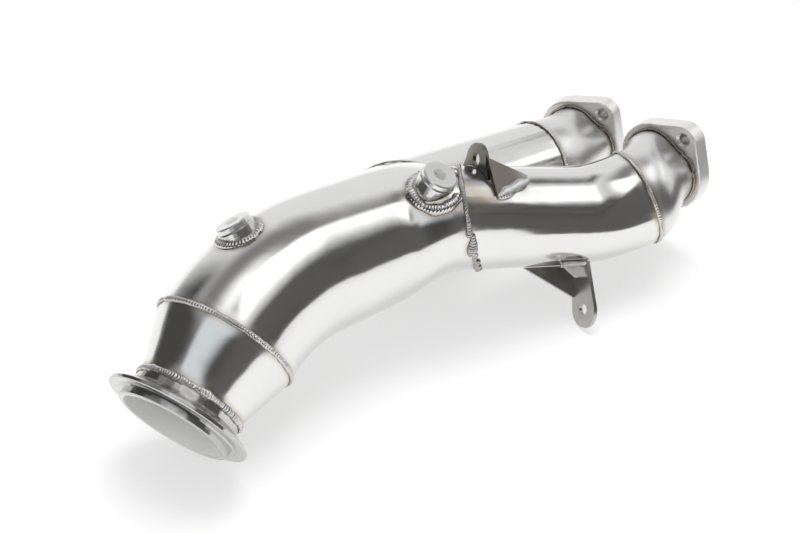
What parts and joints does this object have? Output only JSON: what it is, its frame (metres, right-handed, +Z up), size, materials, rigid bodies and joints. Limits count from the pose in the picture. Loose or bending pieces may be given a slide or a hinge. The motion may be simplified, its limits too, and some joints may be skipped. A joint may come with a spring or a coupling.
{
  "type": "turbo downpipe",
  "caption": "Polished stainless turbo downpipe: V-band inlet, cone, mandrel bend and a Y into two flanged outlet legs, with sensor bungs and bracket lugs",
  "frame": {"origin": "On the floor under the middle of the outline", "axes": "+Z up; +X runs to the right, from the V-band inlet towards the outlets; +Y runs away from the side that the picture shows"},
  "size_m": [0.4343, 0.4059, 0.1492],
  "materials": {
    "polished_steel": "mirror-polished stainless tube",
    "machined_steel": "satin machined stainless",
    "plug_steel": "turned steel plug",
    "bracket_steel": "dull sheet steel",
    "weld": "rippled TIG weld bead"
  },
  "bodies": {
    "root": {"inlet_cone": "polished_steel", "main_pipe": "polished_steel", "near_leg": "polished_steel", "far_leg": "polished_steel", "near_neck": "polished_steel", "far_neck": "polished_steel", "vband_flange": "machined_steel", "near_outlet_flange": "machined_steel", "far_outlet_flange": "machined_steel", "seam_sensor_bung": "machined_steel", "bend_sensor_bung": "machined_steel", "seam_sensor_plug": "plug_steel", "bend_sensor_plug": "plug_steel", "upper_bracket": "bracket_steel", "lower_bracket": "bracket_steel", "weld_bend_sensor_bung": "weld", "weld_cone": "weld", "weld_far_flange": "weld", "weld_far_ring": "weld", "weld_far_seam": "weld", "weld_lower_bracket": "weld", "weld_near_flange": "weld", "weld_near_ring": "weld", "weld_near_seam": "weld", "weld_seam_sensor_bung": "weld", "weld_upper_bracket": "weld", "weld_vband": "weld"}
  },
  "joints": []
}
